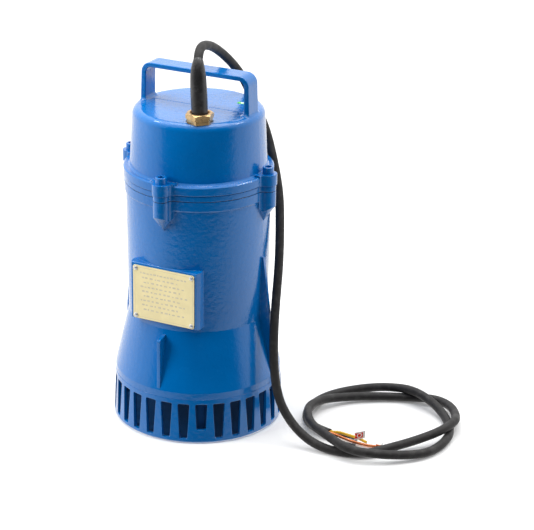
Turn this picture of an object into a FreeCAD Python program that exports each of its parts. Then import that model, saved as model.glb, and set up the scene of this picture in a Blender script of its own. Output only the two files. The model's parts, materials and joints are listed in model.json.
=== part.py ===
"""Submersible drainage pump with a cast carrying handle and a bare-ended cable.

Millimetres, +Z up. The origin is on the shaft axis at the underside of the
strainer. +X runs along the carrying handle and the nameplate faces -Y.
"""
import FreeCAD
import Part
import math
import os

import Sketcher
from FreeCAD import Placement, Rotation, Vector

doc = FreeCAD.newDocument("drainage_pump")
sheet = doc.addObject("Spreadsheet::Sheet", "sizes")
UP = Vector(0, 0, 1)
ALONG_Y = Rotation(Vector(1, 0, 0), -90)
nodes = {}


class Size:
    """A length that knows its own number and the sheet expression behind it."""

    def __init__(self, number, text):
        self.number = float(number)
        self.text = text

    def combine(self, other, sign, result):
        other_text = other.text if isinstance(other, Size) else repr(float(other))
        return Size(result, "(%s %s %s)" % (self.text, sign, other_text))

    def __add__(self, other):
        return self.combine(other, "+", self.number + number(other))

    def __sub__(self, other):
        return self.combine(other, "-", self.number - number(other))

    def __mul__(self, other):
        return self.combine(other, "*", self.number * number(other))

    def __truediv__(self, other):
        return self.combine(other, "/", self.number / number(other))

    def __neg__(self):
        return Size(-self.number, "(-1 * %s)" % self.text)


def number(size):
    return size.number if isinstance(size, Size) else float(size)


def size(alias, value):
    """Put one driving dimension in the sheet and return it as a Size."""
    size.row += 1
    sheet.set("A%d" % size.row, alias)
    sheet.set("B%d" % size.row, str(value))
    sheet.setAlias("B%d" % size.row, alias)
    return Size(value, "sizes." + alias)


size.row = 0

# ---------------------------------------------------------------- sizes
base_radius = size("base_radius", 100.8)
strainer_top_radius = size("strainer_top_radius", 98.6)
strainer_top = size("strainer_top", 55.3)
strainer_wall = size("strainer_wall", 5.0)
strainer_floor = size("strainer_floor", 4.0)
slot_top = size("slot_top", 49.8)
slot_foot = size("slot_foot", 5.7)
slot_top_width = size("slot_top_width", 14.0)
slot_foot_width = size("slot_foot_width", 9.3)
short_slot_foot = size("short_slot_foot", 17.5)
short_slot_width = size("short_slot_width", 11.0)
slot_corner = size("slot_corner", 1.8)
post_radius = size("post_radius", 5.8)
post_circle = size("post_circle", 87.0)

rim_radius = size("rim_radius", 98.4)
rim_top = size("rim_top", 63.4)
cone_top = size("cone_top", 134.0)
casing_radius = size("casing_radius", 84.3)
casing_foot_radius = size("casing_foot_radius", 82.3)
collar_foot = size("collar_foot", 283.0)
collar_radius = size("collar_radius", 85.8)
casing_top = size("casing_top", 293.6)
casing_gasket_top = size("casing_gasket_top", 294.4)
bracket_top = size("bracket_top", 300.6)
cap_foot = size("cap_foot", 301.2)
gasket_inset = size("gasket_inset", 0.5)

lug_circle = size("lug_circle", 89.2)
lug_half_width = size("lug_half_width", 10.4)
lug_root = size("lug_root", 5.0)
lug_step = size("lug_step", 1.1)
lug_tip = size("lug_tip", 256.0)
lug_seat = size("lug_seat", 314.0)
tap_depth = size("tap_depth", 19.0)
screw_hole_radius = size("screw_hole_radius", 4.4)
head_radius = size("head_radius", 6.5)
head_height = size("head_height", 8.0)

flange_radius = size("flange_radius", 87.0)
flange_top = size("flange_top", 312.0)
cap_foot_radius = size("cap_foot_radius", 79.7)
cap_top_radius = size("cap_top_radius", 75.7)
cap_top = size("cap_top", 381.0)
cap_inner_radius = size("cap_inner_radius", 70.0)
cap_roof = size("cap_roof", 374.0)
shoulder = size("shoulder", 8.5)
handle_top = size("handle_top", 426.3)
handle_thick = size("handle_thick", 5.6)
handle_half = size("handle_half", 68.2)
handle_splay = size("handle_splay", 1.8)
handle_width = size("handle_width", 24.0)
handle_corner = size("handle_corner", 12.0)
handle_edge = size("handle_edge", 1.3)
handle_foot = size("handle_foot", 5.0)

volute_foot = size("volute_foot", 62.0)
volute_top = size("volute_top", 102.0)
volute_radius = size("volute_radius", 76.0)
cover_radius = size("cover_radius", 80.0)
eye_radius = size("eye_radius", 26.0)
seal_plate_top = size("seal_plate_top", 110.0)
seal_screw_circle = size("seal_screw_circle", 67.0)
oil_radius = size("oil_radius", 60.0)
oil_top = size("oil_top", 138.0)
lip_seat_top = size("lip_seat_top", 146.0)
motor_floor = size("motor_floor", 162.0)
stator_radius = size("stator_radius", 73.0)
stator_foot = size("stator_foot", 185.0)
stator_top = size("stator_top", 258.0)
stator_bore = size("stator_bore", 37.0)
rotor_radius = size("rotor_radius", 36.6)
shaft_radius = size("shaft_radius", 10.0)

pad_half = size("pad_half", 43.4)
pad_face = size("pad_face", 84.6)
pad_foot = size("pad_foot", 141.3)
pad_top = size("pad_top", 211.0)
rib_thick = size("rib_thick", 4.0)
port_height = size("port_height", 88.0)
port_radius = size("port_radius", 22.4)
port_depth = size("port_depth", 22.0)
port_face = size("port_face", 122.0)
port_boss_radius = size("port_boss_radius", 31.0)
passage_radius = size("passage_radius", 17.0)

SLEEVE_LEAN = Rotation(UP, Vector(-1.2, -0.6, 31.5))
GLAND_TURN = 41.0
gland_x = size("gland_x", 29.0)
gland_y = size("gland_y", -52.5)
nut_foot = size("nut_foot", 385.2)
nut_top = size("nut_top", 391.6)
sleeve_foot = size("sleeve_foot", 388.5)
tail_foot = size("tail_foot", 352.0)
cable_radius = size("cable_radius", 5.25)
seal_radius = size("seal_radius", 7.6)
core_radius = size("core_radius", 1.6)
earth_x = size("earth_x", 44.0)
earth_y = size("earth_y", 34.0)
plate_half = size("plate_half", 39.7)
plate_foot = size("plate_foot", 142.7)
plate_top = size("plate_top", 208.3)
plate_thick = size("plate_thick", 0.8)


# ---------------------------------------------------------------- helpers
def bind(thing, **values):
    """Set properties, each tied to the sheet where the value is a Size."""
    for prop, value in values.items():
        setattr(thing, prop, number(value))
        if isinstance(value, Size):
            thing.setExpression(prop, value.text)
    return thing


def place(thing, x=0, y=0, z=0, rotation=Rotation()):
    """Put an object at x, y, z, each tied to the sheet where it is a Size."""
    thing.Placement = Placement(Vector(number(x), number(y), number(z)), rotation)
    for axis, value in (("x", x), ("y", y), ("z", z)):
        if isinstance(value, Size):
            thing.setExpression("Placement.Base." + axis, value.text)
    return thing


def plane(body, role):
    return [item for item in body.Origin.OriginFeatures if item.Role == role][0]


def sketch_on(body, role, name, offset=None):
    sketch = body.newObject("Sketcher::SketchObject", name)
    sketch.AttachmentSupport = [(plane(body, role), "")]
    sketch.MapMode = "FlatFace"
    if isinstance(offset, Placement):
        sketch.AttachmentOffset = offset
    elif offset is not None:
        sketch.AttachmentOffset = Placement(Vector(0, 0, number(offset)), Rotation())
        if isinstance(offset, Size):
            sketch.setExpression("AttachmentOffset.Base.z", offset.text)
    return sketch


def pin(sketch, kind, item, end, value):
    """Fix one coordinate of a point; zero lies on the sketch's own axis."""
    if abs(number(value)) < 1e-9:
        axis = -2 if kind == "DistanceX" else -1
        sketch.addConstraint(Sketcher.Constraint("PointOnObject", item, end, axis))
        return
    index = sketch.addConstraint(
        Sketcher.Constraint(kind, -1, 1, item, end, number(value)))
    if isinstance(value, Size):
        sketch.setExpression("Constraints[%d]" % index, value.text)


def outline(sketch, corners):
    """Draw a closed polygon whose corners are all pinned to the sheet."""
    start = sketch.GeometryCount
    count = len(corners)
    points = [Vector(number(x), number(y), 0) for x, y in corners]
    for i in range(count):
        sketch.addGeometry(Part.LineSegment(points[i], points[(i + 1) % count]), False)
    for i in range(count):
        following = start + (i + 1) % count
        sketch.addConstraint(
            Sketcher.Constraint("Coincident", start + i, 2, following, 1))
    for i, (x, y) in enumerate(corners):
        pin(sketch, "DistanceX", start + i, 1, x)
        pin(sketch, "DistanceY", start + i, 1, y)
    return sketch


def circle(sketch, x, y, radius):
    centre = Vector(number(x), number(y), 0)
    index = sketch.addGeometry(Part.Circle(centre, UP, number(radius)), False)
    pin(sketch, "DistanceX", index, 3, x)
    pin(sketch, "DistanceY", index, 3, y)
    constraint = sketch.addConstraint(
        Sketcher.Constraint("Radius", index, number(radius)))
    if isinstance(radius, Size):
        sketch.setExpression("Constraints[%d]" % constraint, radius.text)
    return sketch


def new_body(label):
    return doc.addObject("PartDesign::Body", label)


def turned(label, profile):
    """A body turned about Z from a profile of (radius, height) corners."""
    body = new_body(label)
    sketch = outline(sketch_on(body, "XZ_Plane", label + "_profile"), profile)
    turn = body.newObject("PartDesign::Revolution", label + "_turn")
    turn.Profile = sketch
    turn.ReferenceAxis = (sketch, ["V_Axis"])
    turn.Angle = 360
    body.Tip = turn
    return body


def pad(body, sketch, length, midplane=False):
    feature = body.newObject("PartDesign::Pad", sketch.Name + "_pad")
    feature.Profile = sketch
    bind(feature, Length=length)
    feature.Midplane = midplane
    body.Tip = feature
    return feature


def pocket(body, sketch, length, outward=False):
    """Cut from the sketch; outward cuts along the sketch's own normal."""
    feature = body.newObject("PartDesign::Pocket", sketch.Name + "_pocket")
    feature.Profile = sketch
    bind(feature, Length=length)
    feature.Reversed = outward
    body.Tip = feature
    return feature


def polar(body, features, count):
    pattern = body.newObject("PartDesign::PolarPattern", features[0].Name + "_around")
    pattern.Originals = features
    pattern.Axis = (body.Origin.OriginFeatures[2], [""])
    pattern.Angle = 360
    pattern.Occurrences = count
    body.Tip = pattern
    return pattern


def fillet(body, radius, chosen):
    """Round the edges of the body's last feature that pass the test."""
    doc.recompute()
    base = body.Tip
    names = ["Edge%d" % (i + 1)
             for i, edge in enumerate(base.Shape.Edges) if chosen(edge)]
    feature = body.newObject("PartDesign::Fillet", base.Name + "_round")
    feature.Base = (base, names)
    bind(feature, Radius=radius)
    body.Tip = feature
    return feature


def cylinder(label, radius, height, x=0, y=0, z=0, rotation=Rotation()):
    item = doc.addObject("Part::Cylinder", label)
    bind(item, Radius=radius, Height=height)
    return place(item, x, y, z, rotation)


def cone(label, low, high, height, x=0, y=0, z=0, rotation=Rotation()):
    item = doc.addObject("Part::Cone", label)
    bind(item, Radius1=low, Radius2=high, Height=height)
    return place(item, x, y, z, rotation)


def box(label, length, width, height, x=0, y=0, z=0, rotation=Rotation()):
    item = doc.addObject("Part::Box", label)
    bind(item, Length=length, Width=width, Height=height)
    return place(item, x, y, z, rotation)


def hexagon(label, across_flats, height, x=0, y=0, z=0, turn=0):
    item = doc.addObject("Part::Prism", label)
    item.Polygon = 6
    bind(item, Circumradius=across_flats / math.sqrt(3), Height=height)
    return place(item, x, y, z, Rotation(UP, turn))


def fuse(label, pieces):
    item = doc.addObject("Part::MultiFuse", label)
    item.Shapes = pieces
    item.Refine = True
    return item


def cut(label, base, tools):
    item = doc.addObject("Part::Cut", label)
    item.Base = base
    item.Tool = tools[0] if len(tools) == 1 else fuse(label + "_tools", tools)
    item.Refine = True
    return item


def group(label, pieces):
    """Identical separate solids kept in one node."""
    item = doc.addObject("Part::Compound", label)
    item.Links = pieces
    return item


def keep(label, item):
    """Name the finished sub-part; this name is its node and its file."""
    item.Label = label
    nodes[label] = item
    return item


def around(count, start=0.0):
    """Angles about Z, in degrees, with their cosines and sines."""
    for k in range(count):
        angle = start + 360.0 * k / count
        yield k, angle, math.cos(math.radians(angle)), math.sin(math.radians(angle))


def turn_about_axis(item, angle):
    """Turn an object, built at the pump's origin, about the pump's axis."""
    item.Placement = Placement(Vector(0, 0, 0), Rotation(UP, angle))
    return item


def edge_middle(edge):
    return edge.valueAt((edge.FirstParameter + edge.LastParameter) / 2)


# ---------------------------------------------------------------- strainer
def slot_block(azimuth, foot, foot_width):
    """A keystone-shaped block that cuts one inlet slot through the wall."""
    body = new_body("slot_%d" % azimuth)
    sketch = sketch_on(body, "XZ_Plane", "slot_outline_%d" % azimuth,
                       base_radius - strainer_wall - 4.0)
    outline(sketch, [(-foot_width / 2, foot), (foot_width / 2, foot),
                     (slot_top_width / 2, slot_top), (-slot_top_width / 2, slot_top)])
    pad(body, sketch, strainer_wall + 6.5)

    def through_edges(edge):
        return abs(edge.tangentAt(edge.FirstParameter).y) > 0.999

    fillet(body, slot_corner, through_edges)
    return turn_about_axis(body, azimuth)


def make_strainer():
    inner = base_radius - strainer_wall
    ledge = strainer_top - 3.5
    shell = turned("strainer_shell", [
        (0, 0), (base_radius - 2.5, 0), (base_radius, 2.5),
        (strainer_top_radius, strainer_top), (cover_radius - 6.0, strainer_top),
        (cover_radius - 6.0, ledge), (inner - 1.5, ledge),
        (inner, strainer_floor), (0, strainer_floor)])
    posts = [cylinder("strainer_post_%d" % k, post_radius, strainer_top - 1.0,
                      post_circle * c, post_circle * s, 1.0)
             for k, angle, c, s in around(3, -60.0)]
    tools = []
    for k in range(30):
        azimuth = 30 + 12 * k
        if k % 10 == 0:
            tools.append(slot_block(azimuth, short_slot_foot, short_slot_width))
        else:
            tools.append(slot_block(azimuth, slot_foot, slot_foot_width))
    for k, angle, c, s in around(3, -60.0):
        x = post_circle * c
        y = post_circle * s
        tools.append(cylinder("post_hole_%d" % k, 3.3, strainer_top + 2.0, x, y, -1.0))
        tools.append(cylinder("post_sink_%d" % k, 5.3, 7.5, x, y, -1.0))
    blank = fuse("strainer_blank", [shell] + posts)
    keep("strainer", cut("strainer_cut", blank, tools))

    screws = []
    for k, angle, c, s in around(3, -60.0):
        x = post_circle * c
        y = post_circle * s
        shank = cylinder("strainer_shank_%d" % k, 2.6, 68.0, x, y, 2.0)
        head = cylinder("strainer_head_%d" % k, 5.0, 5.0, x, y, 1.5)
        screw = fuse("strainer_screw_%d" % k, [shank, head])
        socket = hexagon("strainer_socket_%d" % k, 5.0, 2.6, x, y, 1.4)
        screws.append(cut("strainer_screw_cut_%d" % k, screw, [socket]))
    keep("strainer_screws", group("strainer_screw_group", screws))


# ---------------------------------------------------------------- casing
def lug_plan(ring, half):
    """Corners of a lug on +X whose sides flow into a ring of that radius."""
    root = number(lug_root)
    side = number(half) + root
    middle = math.sqrt((number(ring) + root) ** 2 - side ** 2)
    last = math.degrees(math.atan2(side, middle)) - 180.0
    edge = []
    for k in range(5):
        angle = math.radians(-90.0 + (last + 90.0) * k / 4.0)
        edge.append((middle + root * math.cos(angle), side + root * math.sin(angle)))
    inside = (stator_radius.number + 3.0, edge[-1][1])
    upper = [(lug_circle, half)] + edge + [inside]
    return upper + [(x, -y) for x, y in upper[::-1]]


def lug_block(name, foot, top, ring, half):
    """A rounded bolt lug on +X, reaching in to the casing wall."""
    body = new_body(name + "_root")
    sketch = sketch_on(body, "XY_Plane", name + "_plan", foot)
    outline(sketch, lug_plan(ring, half))
    pad(body, sketch, top - foot)
    nose = cylinder(name + "_nose", half, top - foot, lug_circle, 0, foot)
    return fuse(name, [body, nose])


def four_lugs(name, make):
    return [turn_about_axis(make("%s_%d" % (name, k)), angle)
            for k, angle, c, s in around(4)]


def casing_lug(name):
    """A lug that tapers to a point on the casing wall below it."""
    lug = lug_block(name + "_full", lug_tip, casing_top, collar_radius,
                    lug_half_width - lug_step)
    height = casing_top - lug_tip
    taper = cone(name + "_taper", 0.05, height * 0.73, height, casing_radius, 0, lug_tip)
    item = doc.addObject("Part::Common", name)
    item.Base = lug
    item.Tool = taper
    return item


def gusset(name, profile, angle):
    """A thin vertical rib, drawn as (radius, height) corners on +X."""
    body = new_body(name)
    sketch = outline(sketch_on(body, "XZ_Plane", name + "_profile"), profile)
    pad(body, sketch, rib_thick, midplane=True)
    return turn_about_axis(body, angle)


def make_pump_body():
    outer = turned("casing_outer", [
        (0, strainer_top), (rim_radius, strainer_top), (rim_radius, rim_top),
        (casing_foot_radius, cone_top), (casing_radius, collar_foot - 1.5),
        (collar_radius, collar_foot), (collar_radius, casing_top), (0, casing_top)])
    tall = [(stator_radius + 4.0, 62.0), (98.0, 62.0), (96.2, 120.0), (94.6, 141.0),
            (casing_radius + 1.4, 210.5), (stator_radius + 4.0, 212.5)]
    short = [(stator_radius + 4.0, 62.0), (98.0, 62.0), (97.8, 123.5),
             (96.4, 125.5), (stator_radius + 4.0, 129.0)]
    ribs = [gusset("rib_right", tall, 0.0), gusset("rib_rear", tall, 90.0),
            gusset("rib_left", tall, 180.0), gusset("rib_front", short, -90.0)]

    pad_body = new_body("nameplate_pad")
    sketch = sketch_on(pad_body, "XY_Plane", "nameplate_pad_plan", pad_foot)
    outline(sketch, [(-pad_half, -60.0), (-pad_half - 1.2, -(pad_face - 5.0)),
                     (-pad_half + 1.4, -pad_face), (pad_half - 1.4, -pad_face),
                     (pad_half + 1.2, -(pad_face - 5.0)), (pad_half, -60.0)])
    pad(pad_body, sketch, pad_top - pad_foot)

    def pad_edges(edge):
        middle = edge_middle(edge)
        flat = abs(middle.z - pad_foot.number) < 0.01 or abs(middle.z - pad_top.number) < 0.01
        return flat and middle.y < -(pad_face.number - 0.01)

    fillet(pad_body, 2.0, pad_edges)

    boss = cone("port_boss", port_boss_radius + 2.5, port_boss_radius,
                port_face - 60.0, 0, 60.0, port_height, ALONG_Y)
    blank = fuse("casing_blank",
                 [outer] + four_lugs("casing_lug", casing_lug) + ribs + [pad_body, boss])

    hollow = turned("casing_hollow", [
        (0, strainer_top - 1.0), (cover_radius + 0.1, strainer_top - 1.0),
        (cover_radius + 0.1, volute_foot), (volute_radius, volute_foot),
        (volute_radius, seal_plate_top), (oil_radius, seal_plate_top),
        (oil_radius - 4.0, oil_top), (18.0, oil_top), (18.0, lip_seat_top),
        (26.0, lip_seat_top), (26.0, motor_floor), (66.0, motor_floor),
        (68.0, stator_foot), (stator_radius, stator_foot),
        (stator_radius, casing_top + 1.0), (0, casing_top + 1.0)])
    tools = [hollow,
             cylinder("port_thread", port_radius, port_depth + 1.0, 0,
                      port_face - port_depth, port_height, ALONG_Y),
             cylinder("port_passage", passage_radius, 60.0, 0, 66.0, port_height, ALONG_Y)]
    for k, angle, c, s in around(4):
        tools.append(cylinder("casing_tap_%d" % k, 3.4, tap_depth + 1.0, lug_circle * c,
                              lug_circle * s, casing_top - tap_depth))
    for k, angle, c, s in around(3, -60.0):
        tools.append(cylinder("casing_foot_tap_%d" % k, 2.6, 18.0, post_circle * c,
                              post_circle * s, strainer_top - 1.0))
    for k, (x, z) in enumerate(rivet_places()):
        tools.append(cylinder("rivet_tap_%d" % k, 1.2, 8.0, x, -pad_face - 1.0, z, ALONG_Y))
    for k, angle, c, s in around(4, 45.0):
        tools.append(cylinder("seal_plate_tap_%d" % k, 2.1, 13.0, seal_screw_circle * c,
                              seal_screw_circle * s,
                              seal_plate_top - 1.0))
    keep("pump_body", cut("pump_body_cut", blank, tools))


def make_screws():
    """Socket-head cap screws that clamp cap, bracket and casing together."""
    screws = []
    for k, angle, c, s in around(4):
        x = lug_circle * c
        y = lug_circle * s
        shank = cylinder("cap_shank_%d" % k, 3.4, 38.0, x, y, lug_seat - 37.5)
        head = cylinder("cap_head_%d" % k, head_radius, head_height, x, y, lug_seat)
        rounded = doc.addObject("Part::Chamfer", "cap_head_edge_%d" % k)
        rounded.Base = head
        doc.recompute()
        rim = [i + 1 for i, edge in enumerate(head.Shape.Edges)
               if edge_middle(edge).z > number(lug_seat + head_height) - 0.01]
        rounded.Edges = [(i, 0.7, 0.7) for i in rim[:1]]
        screw = fuse("cap_screw_%d" % k, [shank, rounded])
        socket = hexagon("cap_socket_%d" % k, 7.2, 6.0, x, y, lug_seat + 3.0)
        screws.append(cut("cap_screw_cut_%d" % k, screw, [socket]))
    keep("cap_screws", group("cap_screw_group", screws))


def flange_ring(label, inner, foot, top, radius, half):
    """A flat ring with four lugs."""
    ring = turned(label + "_ring", [(inner, foot), (radius, foot), (radius, top), (inner, top)])
    lugs = four_lugs(label + "_lug", lambda name: lug_block(name, foot, top, radius, half))
    return fuse(label + "_blank", [ring] + lugs)


def screw_holes(label, foot, height):
    return [cylinder("%s_hole_%d" % (label, k), screw_hole_radius, height,
                     lug_circle * c, lug_circle * s, foot)
            for k, angle, c, s in around(4)]


def make_gaskets():
    for label, foot, top in (("casing_gasket", casing_top, casing_gasket_top),
                             ("cap_gasket", bracket_top, cap_foot)):
        blank = flange_ring(label, cap_inner_radius + 5.0, foot, top,
                            collar_radius - gasket_inset,
                            lug_half_width - lug_step - gasket_inset)
        clear = screw_holes(label, foot - 1.0, 4.0)
        keep(label, cut(label + "_cut", blank, clear))


def make_bracket():
    """The plate between casing and cap that carries the upper bearing."""
    plate = flange_ring("bracket", 20.0, casing_gasket_top, bracket_top, collar_radius,
                        lug_half_width - lug_step)
    hub = turned("bracket_hub", [
        (0, 281.0), (31.0, 281.0), (33.0, 283.0), (36.0, casing_gasket_top),
        (36.0, bracket_top), (0, bracket_top)])
    spigot = turned("bracket_spigot", [
        (66.0, 288.0), (72.8, 288.0), (72.8, casing_gasket_top + 1.0),
        (66.0, casing_gasket_top + 1.0)])
    blank = fuse("bracket_whole", [plate, hub, spigot])
    bore = turned("bracket_bore", [
        (0, 280.0), (23.5, 280.0), (23.5, 299.0), (0, 299.0)])
    wire_way = cylinder("wire_way", 9.0, 30.0, -50.0, 0.0, 280.0)
    earth_tap = cylinder("earth_tap", 2.5, 20.0, earth_x, earth_y, 290.0)
    keep("bearing_bracket", cut("bracket_cut", blank,
                                [bore, wire_way, earth_tap]
                                + screw_holes("bracket", 290.0, 20.0)))


# ---------------------------------------------------------------- cap
def make_cap():
    body = turned("cap_body", [
        (cap_inner_radius, cap_foot), (flange_radius - 0.8, cap_foot),
        (flange_radius, cap_foot + 0.8), (flange_radius, flange_top - 1.5),
        (flange_radius - 1.5, flange_top), (cap_foot_radius + 1.5, flange_top),
        (cap_foot_radius, flange_top + 2.0), (cap_top_radius, cap_top), (0, cap_top),
        (0, cap_roof), (cap_inner_radius - 5.0, cap_roof),
        (cap_inner_radius, cap_roof - 6.0)])

    def top_rim(edge):
        middle = edge_middle(edge)
        return abs(middle.z - cap_top.number) < 0.01

    fillet(body, shoulder, top_rim)

    lugs = sketch_on(body, "XY_Plane", "cap_lug_block", cap_foot)
    outline(lugs, lug_plan(flange_radius, lug_half_width))
    block = pad(body, lugs, lug_seat - cap_foot)
    nose = sketch_on(body, "XY_Plane", "cap_lug_nose", cap_foot)
    circle(nose, lug_circle, 0, lug_half_width)
    tip = pad(body, nose, lug_seat - cap_foot)
    polar(body, [block, tip], 4)

    foot_x = handle_half + handle_splay
    strap = sketch_on(body, "XZ_Plane", "handle_strap")
    outline(strap, [(foot_x, cap_roof + 1.0), (handle_half, handle_top),
                    (-handle_half, handle_top), (-foot_x, cap_roof + 1.0),
                    (-foot_x + handle_thick + 1.0, cap_roof + 1.0),
                    (-handle_half + handle_thick, handle_top - handle_thick),
                    (handle_half - handle_thick, handle_top - handle_thick),
                    (foot_x - handle_thick - 1.0, cap_roof + 1.0)])
    pad(body, strap, handle_width, midplane=True)

    def outer_corners(edge):
        middle = edge_middle(edge)
        return abs(middle.z - handle_top.number) < 0.01 and abs(middle.y) < 1 \
            and abs(abs(middle.x) - handle_half.number) < 0.1

    def inner_corners(edge):
        middle = edge_middle(edge)
        level = number(handle_top - handle_thick)
        return abs(middle.z - level) < 0.01 and abs(middle.y) < 1 \
            and abs(middle.x) > 50

    fillet(body, handle_corner, outer_corners)
    fillet(body, handle_corner - handle_thick, inner_corners)

    def strap_edges(edge):
        middle = edge_middle(edge)
        return middle.z > cap_top.number + 3 and abs(abs(middle.y) - 12) < 0.01

    fillet(body, handle_edge, strap_edges)

    def foot_edges(edge):
        middle = edge_middle(edge)
        over_leg = abs(middle.x) > 52 and abs(middle.y) < 12.2
        return over_leg and cap_top.number - 7 < middle.z < cap_top.number + 0.2

    fillet(body, handle_foot, foot_edges)

    line = sketch_on(body, "YZ_Plane", "mould_line")
    outline(line, [(-0.9, cap_top - 0.5), (0.9, cap_top - 0.5), (0.9, cap_top),
                   (0.3, cap_top + 0.35), (-0.3, cap_top + 0.35), (-0.9, cap_top)])
    pad(body, line, 118.0, midplane=True)

    recess = sketch_on(body, "XY_Plane", "gland_recess", cap_top - 1.0)
    circle(recess, gland_x, gland_y, 15.6)
    pocket(body, recess, 5.0, outward=True)
    gland_hole = sketch_on(body, "XY_Plane", "gland_hole", cap_roof - 10.0)
    circle(gland_hole, gland_x, gland_y, 10.5)
    pocket(body, gland_hole, 24.0, outward=True)
    screw_hole = sketch_on(body, "XY_Plane", "cap_screw_hole", cap_foot - 1.0)
    circle(screw_hole, lug_circle, 0, screw_hole_radius)
    polar(body, [pocket(body, screw_hole, 20.0, outward=True)], 4)
    keep("top_cap", body)


# ---------------------------------------------------------------- pump end
def make_pump_end():
    """The wetted parts below the oil chamber, and the shaft seal."""
    keep("suction_cover", turned("suction_cover_turned", [
        (eye_radius, strainer_top), (cover_radius, strainer_top),
        (cover_radius, volute_foot), (eye_radius + 3.0, volute_foot),
        (eye_radius, volute_foot - 3.0)]))

    plate = turned("seal_plate_turned", [
        (12.5, volute_top), (volute_radius, volute_top),
        (volute_radius, seal_plate_top), (17.0, seal_plate_top),
        (17.0, volute_top + 1.5), (12.5, volute_top + 1.5)])
    holes = []
    screws = []
    for k, angle, c, s in around(4, 45.0):
        x = seal_screw_circle * c
        y = seal_screw_circle * s
        holes.append(cylinder("seal_screw_hole_%d" % k, 2.6, 12.0, x, y, volute_top - 1.0))
        holes.append(cylinder("seal_screw_sink_%d" % k, 5.0, 6.0, x, y, volute_top - 1.0))
        shank = cylinder("seal_shank_%d" % k, 2.1, 17.0, x, y, volute_top + 3.0)
        head = cylinder("seal_head_%d" % k, 4.3, 4.2, x, y, volute_top + 0.6)
        screws.append(fuse("seal_screw_%d" % k, [shank, head]))
    plug_x = 40.0
    holes.append(cylinder("oil_hole", 5.0, 12.0, plug_x, 0, volute_top - 1.0))
    keep("seal_plate", cut("seal_plate_cut", plate, holes))
    keep("seal_plate_screws", group("seal_screw_group", screws))
    plug = fuse("oil_plug_whole", [
        cylinder("oil_plug_thread", 5.0, seal_plate_top - volute_top, plug_x, 0, volute_top),
        cylinder("oil_plug_head", 7.5, 3.0, plug_x, 0, volute_top - 3.0)])
    keep("oil_plug", cut("oil_plug_cut", plug, [
        hexagon("oil_plug_socket", 5.0, 3.5, plug_x, 0, volute_top - 3.5)]))

    keep("seal_seat", turned("seal_seat_turned", [
        (11.0, volute_top + 1.5), (17.0, volute_top + 1.5), (17.0, 109.5),
        (14.5, 111.0), (11.0, 111.0)]))
    keep("seal_head", turned("seal_head_turned", [
        (shaft_radius, 111.2), (14.0, 111.2), (16.0, 114.0), (16.0, 119.0),
        (13.5, 121.0), (16.0, 123.0), (13.5, 125.0), (16.0, 127.0), (13.5, 129.0),
        (15.5, 131.0), (15.5, 134.0), (shaft_radius, 134.0)]))
    keep("lip_seal", turned("lip_seal_turned", [
        (shaft_radius + 0.1, 140.5), (12.5, 138.6), (18.0, 138.6), (18.0, 145.4),
        (12.5, 145.4), (12.5, 142.5), (shaft_radius + 0.1, 141.2)]))


def vane(name, angle):
    """One backward-swept impeller vane of even thickness."""
    steps = 7
    sweep = 75.0
    inner = 18.0
    outer = 60.5
    half = 1.6
    ahead = []
    behind = []
    for i in range(steps):
        part = i / (steps - 1.0)
        radius = inner + (outer - inner) * part
        turn = math.radians(sweep * part)
        lean = turn + math.radians(52.0)
        x = radius * math.cos(turn)
        y = radius * math.sin(turn)
        ahead.append((x - half * math.sin(lean), y + half * math.cos(lean)))
        behind.append((x + half * math.sin(lean), y - half * math.cos(lean)))
    body = new_body(name)
    sketch = sketch_on(body, "XY_Plane", name + "_plan", volute_foot + 0.8)
    outline(sketch, behind + ahead[::-1])
    pad(body, sketch, 24.5)
    return turn_about_axis(body, angle)


def make_impeller():
    hub = turned("impeller_hub", [
        (8.0, 72.0), (13.0, 72.0), (16.5, 83.5), (62.0, 85.5), (62.0, 90.0),
        (19.0, 90.0), (16.0, 93.0), (16.0, 100.5), (8.0, 100.5)])
    vanes = [vane("vane_%d" % k, angle) for k, angle, c, s in around(6)]
    blank = fuse("impeller_blank", [hub] + vanes)
    keep("impeller", cut("impeller_cut", blank, [key_block("impeller_keyway")]))
    keep("impeller_key", key_block("impeller_key_block"))
    keep("impeller_washer", turned("impeller_washer_turned", [
        (6.0, 70.4), (13.0, 70.4), (13.0, 72.0), (6.0, 72.0)]))
    nut = hexagon("impeller_nut_hex", 19.0, 10.4, 0, 0, 60.0)
    keep("impeller_nut", cut("impeller_nut_cut", nut, [
        cylinder("impeller_nut_bore", 6.0, 12.0, 0, 0, 59.0)]))


def key_block(label):
    return box(label, 5.0, 4.0, 20.0, 5.6, -2.0, 76.0)


def make_shaft():
    shaft = turned("shaft_turned", [
        (0, 57.0), (5.2, 57.0), (6.0, 57.8), (6.0, 72.5), (8.0, 72.5), (8.0, 101.0),
        (shaft_radius, 101.0), (shaft_radius, motor_floor - 1.0), (12.0, motor_floor - 1.0),
        (12.0, 181.0), (13.0, 181.0), (13.0, 262.0), (11.0, 262.0), (11.0, 283.0),
        (8.5, 283.0), (8.5, 297.0), (7.7, 297.8), (0, 297.8)])
    keep("shaft", cut("shaft_cut", shaft, [key_block("shaft_keyway")]))


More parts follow.
